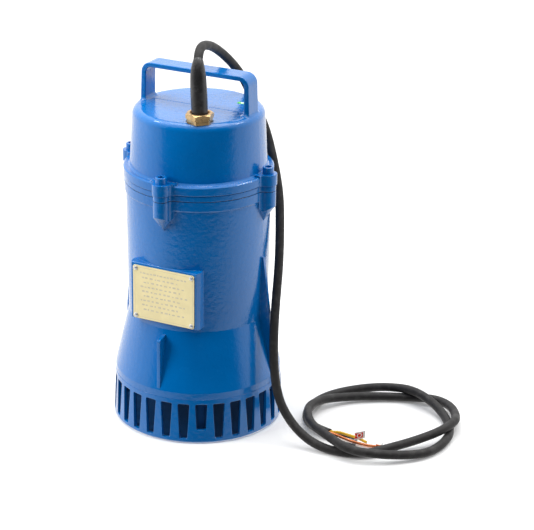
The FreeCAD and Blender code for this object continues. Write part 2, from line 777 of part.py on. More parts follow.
# ---------------------------------------------------------------- bearings
def make_bearing(name, bore, width, outer, foot, pitch, ball, count):
    """A deep-groove ball bearing: two rings, a set of balls and its cage."""
    middle = foot + width / 2.0
    groove = ball + 0.2
    shoulder = ball * 0.64
    inner_ring = turned(name + "_inner_blank", [
        (bore, foot), (pitch - shoulder, foot), (pitch - shoulder, foot + width),
        (bore, foot + width)])
    outer_ring = turned(name + "_outer_blank", [
        (pitch + shoulder, foot), (outer, foot), (outer, foot + width),
        (pitch + shoulder, foot + width)])
    for side, ring in (("inner", inner_ring), ("outer", outer_ring)):
        label = "%s_%s_race" % (name, side)
        section = circle(sketch_on(ring, "XZ_Plane", label), pitch, middle, groove)
        race = ring.newObject("PartDesign::Groove", label + "_groove")
        race.Profile = section
        race.ReferenceAxis = (section, ["V_Axis"])
        race.Angle = 360
        ring.Tip = race
        keep("%s_%s_ring" % (name, side), ring)
    balls = []
    pockets = []
    for k, angle, c, s in around(count):
        item = doc.addObject("Part::Sphere", "%s_ball_%d" % (name, k))
        bind(item, Radius=ball)
        balls.append(place(item, pitch * c, pitch * s, middle))
        outward = Rotation(UP, Vector(c, s, 0))
        pockets.append(cylinder("%s_pocket_%d" % (name, k), ball + 0.15, 8.0,
                                (pitch - 4.0) * c, (pitch - 4.0) * s, middle, outward))
    keep(name + "_balls", group(name + "_ball_group", balls))
    ring = turned(name + "_cage_blank", [
        (pitch - 1.4, middle - ball - 1.2), (pitch + 1.4, middle - ball - 1.2),
        (pitch + 1.4, middle + ball + 1.2), (pitch - 1.4, middle + ball + 1.2)])
    keep(name + "_cage", cut(name + "_cage_cut", ring, pockets))


# ---------------------------------------------------------------- motor
def make_motor():
    blank = turned("stator_blank", [
        (stator_bore, stator_foot), (stator_radius, stator_foot),
        (stator_radius, stator_top), (stator_bore, stator_top)])
    height = stator_top - stator_foot
    tools = []
    bars = []
    for k, angle, c, s in around(24):
        turn = Rotation(UP, angle)
        slot = box("stator_slot_%d" % k, 17.0, 5.0, height + 2.0)
        slot_seat = turn.multVec(Vector(40.0, -2.5, stator_foot.number - 1.0))
        slot.Placement = Placement(slot_seat, turn)
        mouth = box("stator_mouth_%d" % k, 6.0, 1.8, height + 2.0)
        mouth_seat = turn.multVec(Vector(35.5, -0.9, stator_foot.number - 1.0))
        mouth.Placement = Placement(mouth_seat, turn)
        tools += [slot, mouth]
        bar = box("winding_bar_%d" % k, 16.4, 4.6, height + 4.0)
        bar_seat = turn.multVec(Vector(40.3, -2.3, stator_foot.number - 2.0))
        bar.Placement = Placement(bar_seat, turn)
        bars.append(bar)
    keep("stator_core", cut("stator_cut", blank, tools))
    rings = [turned("winding_" + side, [
        (40.0, low + 3.0), (43.0, low), (59.0, low), (64.0, low + 5.0),
        (64.0, low + 12.0), (59.0, low + 17.0), (43.0, low + 17.0), (40.0, low + 14.0)])
        for side, low in (("lower", stator_foot - 17.6), ("upper", stator_top + 0.6))]
    keep("stator_winding", fuse("winding_whole", rings + bars))

    keep("rotor_core", turned("rotor_core_turned", [
        (13.0, 187.0), (rotor_radius, 187.0), (rotor_radius, 256.0), (13.0, 256.0)]))
    ends = [turned("rotor_end_" + side, [
        (22.0, low), (rotor_radius - 0.8, low), (rotor_radius - 0.4, low + 6.0), (22.0, low + 6.0)])
        for side, low in (("lower", 181.0), ("upper", 256.0))]
    keep("rotor_end_rings", group("rotor_end_group", ends))
    keep("preload_spring", turned("preload_spring_turned", [
        (19.5, 298.3), (23.3, 297.0), (23.3, 297.6), (19.5, 298.9)]))


# ---------------------------------------------------------------- top fittings
def at_gland(body):
    return place(body, gland_x, gland_y, 0)


def make_gland():
    seat = sleeve_foot - 0.4
    lower = hexagon("gland_lower_hex", 25.8, nut_foot - cap_top + 1.0,
                    gland_x, gland_y, cap_top - 1.0, GLAND_TURN)
    seal_way = at_gland(turned("gland_seal_way", [
        (0, 370.0), (seal_radius, 370.0), (seal_radius, nut_top), (0, nut_top)]))
    threads = at_gland(turned("gland_threads", [
        (5.0, 366.0), (10.5, 366.0), (10.5, cap_top - 1.0), (11.0, cap_top + 2.0),
        (11.0, seat), (5.0, seat)]))
    tail_way = at_gland(turned("gland_tail_way", [
        (0, 360.0), (cable_radius, 360.0), (cable_radius, nut_top), (0, nut_top)]))
    body = fuse("gland_body_whole", [lower, threads])
    keep("gland_body", cut("gland_body_cut", body, [seal_way, tail_way]))
    keep("gland_seal", at_gland(turned("gland_seal_turned", [
        (cable_radius, 370.0), (seal_radius, 370.0), (seal_radius, seat),
        (cable_radius, seat)])))

    nut = hexagon("gland_nut_hex", 28.4, nut_top - nut_foot, gland_x, gland_y, nut_foot,
                  GLAND_TURN)
    trim = at_gland(turned("gland_nut_trim", [
        (0, nut_foot - 6.0), (14.4, nut_foot - 0.6), (16.6, nut_foot + 1.2),
        (16.6, nut_top - 1.8), (14.2, nut_top), (0, nut_top + 6.0)]))
    domed = doc.addObject("Part::Common", "gland_nut_domed")
    domed.Base = nut
    domed.Tool = trim
    nut_bore = at_gland(turned("gland_nut_bore", [
        (0, nut_foot - 1.0), (11.0, nut_foot - 1.0), (11.0, nut_top + 1.0), (0, nut_top + 1.0)]))
    keep("gland_nut", cut("gland_nut_cut", domed, [nut_bore]))
    sleeve = turned("cable_sleeve_turned", [
        (cable_radius, 0), (9.2, 0), (9.3, 40.0), (8.9, 44.0), (6.6, 56.0),
        (cable_radius, 56.5)])
    keep("cable_sleeve", place(sleeve, gland_x, gland_y, sleeve_foot, SLEEVE_LEAN))
    start = Vector(*CABLE_ROUTE[0])
    corner = Vector(gland_x.number, gland_y.number, sleeve_foot.number)
    keep("cable_tail", fuse("cable_tail_whole", [
        cylinder("tail_upright", cable_radius, sleeve_foot - tail_foot,
                 gland_x, gland_y, tail_foot),
        cylinder("tail_leaning", cable_radius, (start - corner).Length,
                 gland_x, gland_y, sleeve_foot, SLEEVE_LEAN)]))


def rivet_places():
    inset = 3.6
    for x in (-plate_half + inset, plate_half - inset):
        for z in (plate_foot + inset, plate_top - inset):
            yield x, z


def make_nameplate():
    body = new_body("nameplate_body")
    sketch = sketch_on(body, "XZ_Plane", "nameplate_outline", pad_face)
    outline(sketch, [(-plate_half, plate_foot), (plate_half, plate_foot),
                     (plate_half, plate_top), (-plate_half, plate_top)])
    pad(body, sketch, plate_thick)

    def plate_corners(edge):
        return abs(edge.tangentAt(edge.FirstParameter).y) > 0.999

    fillet(body, 2.5, plate_corners)
    holes = []
    rivets = []
    out = Rotation(Vector(1, 0, 0), 90)
    for k, (x, z) in enumerate(rivet_places()):
        holes.append(cylinder("plate_hole_%d" % k, 1.2, 4.0, x, -pad_face - 2.0, z, ALONG_Y))
        rivet = turned("rivet_%d" % k, [
            (0, -5.5), (1.2, -5.5), (1.2, 0), (2.7, 0), (2.55, 0.6), (2.0, 1.15),
            (1.1, 1.5), (0, 1.6)])
        rivets.append(place(rivet, x, -pad_face - plate_thick, z, out))
    keep("nameplate", cut("nameplate_cut", body, holes))
    keep("nameplate_rivets", group("rivet_group", rivets))
    keep("inspection_sticker", box("sticker_sheet", 9.0, 6.0, 0.2, 34.0, 28.0, cap_top))


def make_terminals():
    block = box("terminal_base", 50.0, 24.0, 14.0, -25.0, -12.0, bracket_top)
    screws = []
    holes = []
    for k in range(4):
        x = -18.0 + 12.0 * k
        holes.append(cylinder("terminal_hole_%d" % k, 1.9, 12.0, x, 0, bracket_top + 4.0))
        holes.append(box("terminal_gate_%d" % k, 8.0, 12.0, 6.0, x - 4.0, -6.0,
                         bracket_top + 9.0))
        shank = cylinder("terminal_shank_%d" % k, 1.9, 9.0, x, 0, bracket_top + 4.5)
        head = cylinder("terminal_head_%d" % k, 3.4, 2.6, x, 0, bracket_top + 11.0)
        screws.append(fuse("terminal_screw_%d" % k, [shank, head]))
    keep("terminal_block", cut("terminal_block_cut", block, holes))
    keep("terminal_screws", group("terminal_screw_group", screws))
    keep("earth_screw", fuse("earth_screw_whole", [
        cylinder("earth_shank", 2.5, 8.0, earth_x, earth_y, bracket_top - 6.0),
        hexagon("earth_head", 8.0, 4.0, earth_x, earth_y, bracket_top)]))


# ---------------------------------------------------------------- cable and cores
def rounded_path(points):
    """Straight runs joined by arcs as large as each corner's shorter run allows."""
    edges = []
    radii = []
    here = points[0]
    for before, corner, after in zip(points, points[1:], points[2:]):
        into = (corner - before).normalize()
        away = (after - corner).normalize()
        shorter = min((corner - before).Length, (after - corner).Length)
        setback = 0.45 * shorter
        start = corner - into * setback
        end = corner + away * setback
        half_turn = into.getAngle(away) / 2
        radius = setback / math.tan(half_turn)
        inward = (away - into).normalize()
        middle = corner + inward * (radius / math.cos(half_turn) - radius)
        edges.append(Part.LineSegment(here, start).toShape())
        edges.append(Part.Arc(start, middle, end).toShape())
        radii.append(radius)
        here = end
    edges.append(Part.LineSegment(here, points[-1]).toShape())
    return Part.Wire(edges), radii


def tube(label, route, radius):
    """A solid tube of even section along a route of (x, y, z) points."""
    points = [Vector(*point) for point in route]
    path, radii = rounded_path(points)
    first = path.Edges[0]
    section = Part.Circle(points[0], first.tangentAt(first.FirstParameter), number(radius))
    solid = path.makePipeShell([Part.Wire(section.toShape())], True, False)
    item = doc.addObject("Part::Feature", label + "_tube")
    item.Shape = solid
    expected = math.pi * number(radius) ** 2 * path.Length
    print("%-14s length %7.1f radii %s volume ratio %.4f" % (
        label, path.Length, " ".join("%.0f" % value for value in radii),
        solid.Volume / expected))
    return item


CABLE_ROUTE = [
    (27.8, -53.1, 420), (26.9, -53.55, 443.625), (22, -42, 458), (17, -23, 460),
    (14, 2, 453), (14, 27, 439), (17, 51, 420), (23, 70, 396), (31, 80, 367), (45, 83, 337),
    (59, 76, 303), (74, 63, 267), (84, 45, 229), (93, 25, 191), (99, 5, 152), (105, -11, 115),
    (112, -23, 80), (123, -32, 50), (140, -36, 28), (162, -39, 12.3), (186, -40, 5.3),
    (212, -39, 5.3), (235, -29, 5.3), (253, -8, 7.3), (275, 18, 10.2), (296, 45, 15.4),
    (303, 74, 16.5), (294, 103, 10.4), (278, 126, 9.8), (253, 137, 8.8), (224, 133, 5.3),
    (190, 118, 6), (156, 95, 7.4), (134, 64, 12.1), (132, 27, 16.7), (152, -7, 15.3),
    (186, -32, 18.7), (218, -46, 14.1), (251, -38, 12.7), (278, -18, 8.6), (297, 6, 5.3),
    (304, 34, 5.6), (302, 64, 5.3), (288, 93, 5.5), (263, 117, 10.8), (229, 131, 17.6),
    (192, 134, 12.7), (161, 125, 7.3), (139, 105, 5.3), (127, 78, 5.5), (125, 49, 5.4),
    (133, 23, 5.3), (151, 4, 5.3), (177, -5, 7.4)]

CORE_ROUTES = {
    "core_earth": [(177.43, -3.36, 9.09), (181.67, -4.83, 9.43), (186.3, -0.8, 9.3),
                   (197.6, 0, 8), (207.8, 2.3, 6), (214.1, 3.2, 4.2), (221.6, 1.5, 3)],
    "core_black": [(177.68, -3.44, 5.7), (181.92, -4.91, 6.04), (189.2, 4.1, 3.8),
                   (198.6, 5.8, 2.5), (208.2, 5.9, 1.9)],
    "core_brown": [(176.32, -6.56, 9.1), (181.03, -8.19, 9.48), (188.5, -5.6, 7),
                   (197.5, -5.5, 5), (209.7, -4, 3.4), (223.2, -2.1, 2.4),
                   (230, -0.9, 2.6), (236.5, -0.9, 2.6)],
    "core_grey": [(176.57, -6.64, 5.71), (181.28, -8.27, 6.09), (190, -9.5, 3.4),
                  (201, -9.5, 1.8), (212, -8.5, 1.8)],
}


def make_cable():
    keep("power_cable", tube("power_cable", CABLE_ROUTE, cable_radius))
    for label, route in CORE_ROUTES.items():
        keep(label, tube(label, route, core_radius))
    tilt = Rotation(UP, 26).multiply(Rotation(Vector(0, 1, 0), -12))
    keep("core_tag", box("tag_sheet", 13.0, 0.6, 9.5, 207.6, -2.0, 4.6, tilt))
    lug = fuse("terminal_lug", [
        cylinder("lug_barrel", 2.2, 6.0, 236.5, -0.9, 2.6, Rotation(Vector(0, 1, 0), 90)),
        box("lug_tongue", 0.8, 4.6, 6.6, 241.7, -3.2, 0.6)])
    keep("core_terminal", lug)

    inner = []
    for k, (dx, dy) in enumerate(((-2, -2), (2, -2), (-2, 2), (2, 2))):
        x = gland_x.number + dx
        y = gland_y.number + dy
        end_y = -7.5 + 5.0 * k
        inner.append(tube("inner_core_%d" % k, [
            (x, y, 352), (x, y, 343), (x + 1, y + 1, 334), (x + 4, y + 12, 320),
            (40, end_y - 12, 311), (36, end_y, 306), (25, end_y, 306)], core_radius))
    keep("inner_cores", group("inner_core_group", inner))
    leads = []
    for k in range(3):
        y = -4.5 + 4.5 * k
        leads.append(tube("motor_lead_%d" % k, [
            (-52, y, 275.6), (-52, y, 288), (-49, y, 304), (-39, y, 309), (-33, y, 307),
            (-25, y, 307)], core_radius))
    keep("motor_leads", group("motor_lead_group", leads))


make_strainer()
make_pump_body()
make_screws()
make_gaskets()
make_bracket()
make_cap()
make_pump_end()
make_impeller()
make_shaft()
make_bearing("lower_bearing", shaft_radius, 15.0, 26.0, 146.0, 18.0, 4.7, 8)
make_bearing("upper_bearing", 8.5, 14.0, 23.5, 283.0, 16.0, 4.3, 7)
make_motor()
make_gland()
make_nameplate()
make_terminals()
make_cable()

doc.recompute()
for item in doc.Objects:
    if any(word in item.State for word in ("Invalid", "Error")):
        raise RuntimeError("object %s failed: %s" % (item.Label, item.State))
os.makedirs("parts", exist_ok=True)
for label, item in nodes.items():
    shape = item.Shape
    if shape.isNull() or not shape.isValid():
        raise RuntimeError("sub-part %s has no valid shape" % label)
    shape.exportStep("parts/%s.step" % label)
    print("%-28s solids %3d volume %10.0f" % (label, len(shape.Solids), shape.Volume))
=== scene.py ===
"""Looks for the submersible drainage pump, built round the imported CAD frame."""
import json
import math

import bpy
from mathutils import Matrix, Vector


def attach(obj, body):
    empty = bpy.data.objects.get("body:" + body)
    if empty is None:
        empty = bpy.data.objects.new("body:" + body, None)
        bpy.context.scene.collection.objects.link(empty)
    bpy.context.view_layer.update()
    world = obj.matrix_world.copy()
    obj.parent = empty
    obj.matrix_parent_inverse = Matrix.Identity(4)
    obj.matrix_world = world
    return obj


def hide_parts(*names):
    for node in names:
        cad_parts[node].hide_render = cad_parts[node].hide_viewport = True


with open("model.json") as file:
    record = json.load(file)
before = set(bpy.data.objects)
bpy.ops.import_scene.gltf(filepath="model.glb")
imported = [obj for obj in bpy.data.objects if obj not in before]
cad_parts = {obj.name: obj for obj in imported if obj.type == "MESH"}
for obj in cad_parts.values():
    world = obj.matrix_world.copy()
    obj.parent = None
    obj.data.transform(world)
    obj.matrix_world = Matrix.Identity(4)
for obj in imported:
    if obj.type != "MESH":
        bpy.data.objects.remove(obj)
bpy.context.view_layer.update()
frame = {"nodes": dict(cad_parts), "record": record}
scene = bpy.context.scene
MM = 0.001
# Radius and soft edge of the painted shade inside the strainer.
STRAINER_INSIDE = 95.5 * MM
PAINTED_SHADE_EDGE = 1.5 * MM


# ---------------------------------------------------------------- camera
def add_camera():
    """A long lens at the height and turn that the pump is seen from."""
    place = Vector((1.0178, -1.9142, 1.0616))
    target = Vector((0.07255, 0.03515, 0.18582))
    data = bpy.data.cameras.new("camera")
    data.sensor_width = 36.0
    data.lens = 133.77
    data.clip_end = 50.0
    camera = bpy.data.objects.new("camera", data)
    camera.location = place
    camera.rotation_euler = (target - place).to_track_quat("-Z", "Y").to_euler()
    camera.rotation_euler.rotate_axis("Z", math.radians(0.930))
    scene.collection.objects.link(camera)
    scene.camera = camera


add_camera()


# ---------------------------------------------------------------- node helpers
class Shader:
    """A node material with one Principled shader and short ways to add nodes."""

    def __init__(self, name):
        self.material = bpy.data.materials.new(name)
        self.material.use_nodes = True
        self.tree = self.material.node_tree
        self.surface = self.tree.nodes["Principled BSDF"]

    def set(self, **values):
        for name, value in values.items():
            self.surface.inputs[name.replace("_", " ")].default_value = value
        return self

    def node(self, kind, inputs=None, **settings):
        item = self.tree.nodes.new("ShaderNode" + kind)
        for key, value in settings.items():
            setattr(item, key, value)
        for key, value in (inputs or {}).items():
            self.feed(item.inputs[key], value)
        return item

    def feed(self, socket, value):
        if isinstance(value, bpy.types.NodeSocket):
            self.tree.links.new(value, socket)
        else:
            socket.default_value = value

    def to_surface(self, name, value):
        self.feed(self.surface.inputs[name], value)

    def place(self, scale=(1, 1, 1)):
        coordinates = self.node("TexCoord")
        mapping = self.node("Mapping", {"Vector": coordinates.outputs["Object"],
                                        "Scale": scale})
        return mapping.outputs["Vector"]

    def noise(self, scale, detail=2.0, rough=0.5, vector=None):
        vector = vector or self.place()
        item = self.node("TexNoise", {"Vector": vector, "Scale": scale,
                                      "Detail": detail, "Roughness": rough})
        return item.outputs["Fac"]

    def spread(self, value, low, high, out_low=0.0, out_high=1.0):
        item = self.node("MapRange", {"Value": value, "From Min": low, "From Max": high,
                                      "To Min": out_low, "To Max": out_high},
                         interpolation_type="SMOOTHSTEP")
        return item.outputs["Result"]

    def blend(self, factor, low, high):
        item = self.node("Mix", data_type="RGBA")
        self.feed(item.inputs["Factor"], factor)
        self.feed(item.inputs["A"], low)
        self.feed(item.inputs["B"], high)
        return item.outputs["Result"]

    def calc(self, operation, a, b=0.0):
        item = self.node("Math", operation=operation)
        self.feed(item.inputs[0], a)
        self.feed(item.inputs[1], b)
        return item.outputs["Value"]

    def bump(self, height, strength, distance, normal=None):
        item = self.node("Bump", {"Height": height, "Strength": strength,
                                  "Distance": distance})
        if normal is not None:
            self.feed(item.inputs["Normal"], normal)
        return item.outputs["Normal"]


def colour(red, green, blue):
    """An sRGB colour, 0 to 255, as linear RGBA."""
    def linear(value):
        value /= 255.0
        return value / 12.92 if value <= 0.04045 else ((value + 0.055) / 1.055) ** 2.4
    return (linear(red), linear(green), linear(blue), 1.0)


# ---------------------------------------------------------------- materials
def enamel(name, painted_shade_radius=0.0):
    """Glossy blue enamel over cast iron: orange peel, soft edges, faint wear.

    Inside the given radius of the pump's axis it is darker and matt: painted shade for the
    shadowed hollow inside the strainer.
    """
    shader = Shader(name)
    shader.set(Coat_Weight=1.0, Coat_Roughness=0.05, Coat_IOR=1.55, Specular_IOR_Level=0.12)
    tone = shader.spread(shader.noise(9.0, 3.0), 0.3, 0.7)
    paint = shader.blend(tone, colour(0, 103, 178), colour(0, 112, 191))
    speck = shader.spread(shader.noise(420.0, 4.0, 0.6), 0.70, 0.80)
    paint = shader.blend(speck, paint, colour(0, 72, 140))
    gloss = shader.spread(shader.noise(60.0, 3.0), 0.3, 0.7, 0.18, 0.3)
    # Painted shade: inside the radius the blue is darkened, made matt and left without coat, for
    # the shadowed inside of the strainer.
    if painted_shade_radius:
        flat = shader.node("VectorMath", {0: shader.place((1, 1, 0))}, operation="LENGTH")
        painted_shade = shader.spread(flat.outputs["Value"], painted_shade_radius,
                              painted_shade_radius + PAINTED_SHADE_EDGE, 1.0, 0.0)
        paint = shader.blend(painted_shade, paint, colour(24, 72, 122))
        gloss = shader.calc("MAXIMUM", gloss, shader.calc("MULTIPLY", painted_shade, 0.8))
        shader.to_surface("Coat Weight", shader.calc("SUBTRACT", 1.0, painted_shade))
    shader.to_surface("Base Color", paint)
    shader.to_surface("Roughness", gloss)
    soft = shader.node("Bevel", {"Radius": 0.0009}, samples=6).outputs["Normal"]
    waves = shader.noise(210.0, 2.0, 0.45)
    peel = shader.noise(650.0, 2.0, 0.5)
    normal = shader.bump(waves, 0.4, 0.0006, soft)
    normal = shader.bump(peel, 0.4, 0.0003, normal)
    shader.to_surface("Normal", normal)
    shader.to_surface("Coat Normal", normal)
    return shader.material


def metal(name, base, rough, scratch=0.2, scale=500.0, metallic=1.0):
    """Machined metal with fine tool marks and slightly uneven tarnish."""
    shader = Shader(name)
    shader.set(Metallic=metallic)
    tone = shader.spread(shader.noise(90.0, 4.0), 0.3, 0.7)
    darker = tuple(value * (0.95 - 0.33 * metallic) for value in base[:3]) + (1.0,)
    shader.to_surface("Base Color", shader.blend(tone, darker, base))
    shader.to_surface("Roughness", shader.spread(
        shader.noise(170.0, 4.0), 0.3, 0.7, rough * 0.75, rough * 1.3))
    soft = shader.node("Bevel", {"Radius": 0.0004}, samples=4).outputs["Normal"]
    shader.to_surface("Normal", shader.bump(
        shader.noise(scale, 4.0, 0.6), scratch, 0.0002, soft))
    return shader.material


def rubber(name, base, rough=0.5, grain=0.25, shine=0.5):
    """Rubber with a fine matt grain and a trace of dust."""
    shader = Shader(name)
    shader.set(Specular_IOR_Level=shine)
    dust = shader.spread(shader.noise(140.0, 4.0, 0.6), 0.45, 0.75, 0.0, 0.6)
    pale = tuple(min(1.0, value * 1.9 + 0.01) for value in base[:3]) + (1.0,)
    shader.to_surface("Base Color", shader.blend(dust, base, pale))
    shader.to_surface("Roughness", shader.spread(
        shader.noise(80.0, 3.0), 0.3, 0.7, rough * 0.85, rough * 1.15))
    shader.to_surface("Normal", shader.bump(shader.noise(1400.0, 3.0), grain, 0.0001))
    return shader.material


def plastic(name, base, rough=0.4):
    """Moulded plastic, paper or print: slightly uneven in tone and shine."""
    shader = Shader(name)
    tone = shader.spread(shader.noise(200.0, 3.0), 0.3, 0.7)
    darker = tuple(value * 0.85 for value in base[:3]) + (1.0,)
    shader.to_surface("Base Color", shader.blend(tone, darker, base))
    shader.to_surface("Roughness", shader.spread(
        shader.noise(120.0, 3.0), 0.3, 0.7, rough * 0.85, rough * 1.15))
    shader.to_surface("Normal", shader.bump(shader.noise(1500.0, 3.0), 0.12, 0.0001))
    return shader.material


FINISHES = {
    "blue_enamel": enamel("blue_enamel"),
    "brass": metal("brass", colour(246, 206, 146), 0.3, 0.35, 260.0, 0.8),
    "plate_brass": metal("plate_brass", colour(255, 240, 186), 0.42, 0.1, 700.0, 0.08),
    "plate_print": plastic("plate_print", colour(222, 212, 186), 0.5),
    "bright_steel": metal("bright_steel", colour(190, 190, 190), 0.28),
    "stainless": metal("stainless", colour(200, 200, 198), 0.3),
    "rivet_steel": metal("rivet_steel", colour(236, 236, 236), 0.3, metallic=0.6),
    "cable_rubber": rubber("cable_rubber", colour(44, 43, 43), 0.55, 0.3, 0.25),
    "sleeve_rubber": rubber("sleeve_rubber", colour(42, 42, 43), 0.3),
    "seal_rubber": rubber("seal_rubber", colour(22, 22, 22)),
    "gasket_rubber": rubber("gasket_rubber", colour(18, 20, 24), 0.6),
    "grey_iron": metal("grey_iron", colour(38, 40, 46), 0.6, 0.5, 300.0, 0.3),
    "bronze": metal("bronze", colour(176, 128, 70), 0.4, 0.5, 250.0),
    "seal_ceramic": plastic("seal_ceramic", colour(225, 222, 212), 0.25),
    "lamination": metal("lamination", colour(120, 122, 126), 0.4, 0.4, 900.0),
    "copper_winding": metal("copper_winding", colour(170, 96, 48), 0.32, 0.6, 900.0),
    "cast_aluminium": metal("cast_aluminium", colour(200, 200, 202), 0.42, 0.4, 350.0),
    "terminal_plastic": plastic("terminal_plastic", colour(52, 44, 38)),
    "core_green_yellow": plastic("core_green_yellow", colour(214, 170, 30)),
    "core_black": plastic("core_black", colour(30, 30, 32)),
    "core_copper": metal("core_copper", colour(214, 130, 86), 0.3),
    "core_grey": plastic("core_grey", colour(70, 70, 74)),
    "tag_red": plastic("tag_red", colour(232, 40, 22), 0.6),
    "tag_white": plastic("tag_white", colour(252, 252, 248), 0.6),
    "sticker": plastic("sticker", colour(106, 210, 96), 0.5),
    "tinned": metal("tinned", colour(214, 214, 212), 0.2),
}


def dress_cad_nodes():
    """Give every carried-over CAD node the finish of its record slot.

    The strainer has the same enamel, with painted shade darkening its inside.
    """
    strainer_finish = enamel("strainer_enamel", STRAINER_INSIDE)
    slots = {entry["node"]: entry["material_slot"] for entry in frame["record"]["subparts"]}
    for name, thing in frame["nodes"].items():
        thing.data.materials.clear()
        finish = strainer_finish if name == "strainer" else FINISHES[slots[name]]
        thing.data.materials.append(finish)
        for face in thing.data.polygons:
            face.material_index = 0


dress_cad_nodes()


# ---------------------------------------------------------------- pieces
def ride(thing, slot, *nodes):
    """Put a new piece on the housing, in place of CAD nodes; the record slot it is given is not
    used.
    """
    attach(thing, "housing")
    if nodes:
        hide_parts(*nodes)
    return thing


def mesh_piece(name, corners, faces, finish):
    """A mesh piece from corners in millimetres."""
    mesh = bpy.data.meshes.new(name)
    mesh.from_pydata([tuple(value * MM for value in corner) for corner in corners], [], faces)
    mesh.materials.append(finish)
    thing = bpy.data.objects.new(name, mesh)
    scene.collection.objects.link(thing)
    return thing


def curve_piece(name, radius, rounds, finish):
    """An empty round tube with closed ends, in metres; its splines come later."""
    data = bpy.data.curves.new(name, "CURVE")
    data.dimensions = "3D"
    data.bevel_depth = radius
    data.bevel_resolution = rounds
    data.resolution_u = 12
    data.use_fill_caps = True
    data.materials.append(finish)
    thing = bpy.data.objects.new(name, data)
    scene.collection.objects.link(thing)
    return thing


def spline_tube(name, route, radius, finish, rounds=12, swell=None):
    """A smooth round tube whose control points are the route, in millimetres."""
    thing = curve_piece(name, radius, rounds, finish)
    line = thing.data.splines.new("NURBS")
    line.points.add(len(route) - 1)
    for index, (point, (x, y, z)) in enumerate(zip(line.points, route)):
        point.co = (x * MM, y * MM, z * MM, 1.0)
        point.radius = swell[index] if swell else 1.0
    line.order_u = 3
    line.use_endpoint_u = True
    return thing


def smooth_route(route, steps=12):
    """Points along the same quadratic spline that a spline tube follows."""
    corners = [Vector(point) for point in route]
    joins = [corners[0]]
    joins += [(a + b) / 2 for a, b in zip(corners[1:-2], corners[2:-1])]
    joins.append(corners[-1])
    points = []
    for start, corner, end in zip(joins, corners[1:-1], joins[1:]):
        for k in range(steps):
            t = k / steps
            points.append(start * (1 - t) ** 2 + corner * 2 * t * (1 - t) + end * t * t)
    return points + [corners[-1]]


def twisted_strands(name, route, strands, offset, radius, pitch, finish, fray=0.0):
    """Thin strands wound round a route, spreading a little at its far end."""
    points = smooth_route(route)
    thing = curve_piece(name, radius * MM, 3, finish)
    for strand in range(strands):
        line = thing.data.splines.new("POLY")
        line.points.add(len(points) - 1)
        run = 0.0
        for index, point in enumerate(points):
            ahead = points[min(index + 1, len(points) - 1)] - points[max(index - 1, 0)]
            side = ahead.cross(Vector((0, 0, 1))).normalized()
            over = side.cross(ahead).normalized()
            if index:
                run += (point - points[index - 1]).length
            turn = 2 * math.pi * (run / pitch + strand / strands)
            open_up = 1.0 + fray * max(0.0, index / len(points) - 0.9) * 10.0
            place = point + (side * math.cos(turn) + over * math.sin(turn)) * offset * open_up
            line.points[index].co = (place.x * MM, place.y * MM, place.z * MM, 1.0)
    return thing


# ---------------------------------------------------------------- cable
CABLE_RADIUS = 5.25 * MM
CABLE_ROUTE = [
    (27.8, -53.1, 420), (26.9, -53.55, 443.625), (22, -42, 458), (17, -23, 460),
    (14, 2, 453), (14, 27, 439), (17, 51, 420), (23, 70, 396), (31, 80, 367), (45, 83, 337),
    (59, 76, 303), (74, 63, 267), (84, 45, 229), (93, 25, 191), (99, 5, 152), (105, -11, 115),
    (112, -23, 80), (123, -32, 50), (140, -36, 28), (162, -39, 12.3), (186, -40, 5.3),
    (212, -39, 5.3), (235, -29, 5.3), (253, -8, 7.3), (275, 18, 10.2), (296, 45, 15.4),
    (303, 74, 16.5), (294, 103, 10.4), (278, 126, 9.8), (253, 137, 8.8), (224, 133, 5.3),
    (190, 118, 6), (156, 95, 7.4), (134, 64, 12.1), (132, 27, 16.7), (152, -7, 15.3),
    (186, -32, 18.7), (218, -46, 14.1), (251, -38, 12.7), (278, -18, 8.6), (297, 6, 5.3),
    (304, 34, 5.6), (302, 64, 5.3), (288, 93, 5.5), (263, 117, 10.8), (229, 131, 17.6),
    (192, 134, 12.7), (161, 125, 7.3), (139, 105, 5.3), (127, 78, 5.5), (125, 49, 5.4),
    (133, 23, 5.3), (151, 4, 5.3), (177, -5, 7.4)]
EARTH_ROUTE = [
    (177.43, -3.36, 9.09), (181.67, -4.83, 9.43), (186.3, -0.8, 9.3), (197.6, 0, 8),
    (207.8, 2.3, 6), (214.1, 3.2, 4.2), (221.6, 1.5, 3)]
COPPER_ROUTE = [
    (176.32, -6.56, 9.1), (181.03, -8.19, 9.48), (188.5, -5.6, 7), (197.5, -5.5, 5),
    (209.7, -5.4, 3.4), (223.2, -4.4, 2.4), (230, -3, 2.4), (237, -1.6, 2.6)]


def add_sleeve():
    """The gland's rubber sleeve, drawn in softly round the cable as it bends."""
    last = tuple((a + b) / 2 for a, b in zip(CABLE_ROUTE[1], CABLE_ROUTE[2]))
    route = [(29.0, -52.5, 388.5), CABLE_ROUTE[0], CABLE_ROUTE[1], last]
    sleeve = spline_tube("sleeve_tapered", route, 9.2 * MM, FINISHES["sleeve_rubber"],
                         swell=[1.0, 1.05, 0.88, 0.575])
    ride(sleeve, "cable_rubber", "cable_sleeve")


def add_cable():
    """The cable with its bare cores and tag."""
    cable = spline_tube("cable_sheath", CABLE_ROUTE, CABLE_RADIUS, FINISHES["cable_rubber"])
    ride(cable, "cable_rubber", "power_cable")
    earth = twisted_strands("earth_twist", EARTH_ROUTE, 3, 0.85, 1.02, 9.0,
                            FINISHES["core_green_yellow"])
    ride(earth, "core_green_yellow", "core_earth")
    copper = twisted_strands("copper_strands", COPPER_ROUTE, 6, 1.1, 0.7, 8.0,
                             FINISHES["core_copper"])
    ride(copper, "core_copper", "core_brown")
    tips = twisted_strands("copper_tips", [(235, -1.6, 2.8), (240, -1.2, 2.8), (245, 0.2, 2.6)],
                           7, 2.0, 0.55, 12.0, FINISHES["core_copper"], fray=0.6)
    ride(tips, "core_copper")
    loose = [frame["nodes"][name] for name in ("core_black", "core_grey", "core_terminal")]
    loose + [earth, copper, tips] + add_tag()


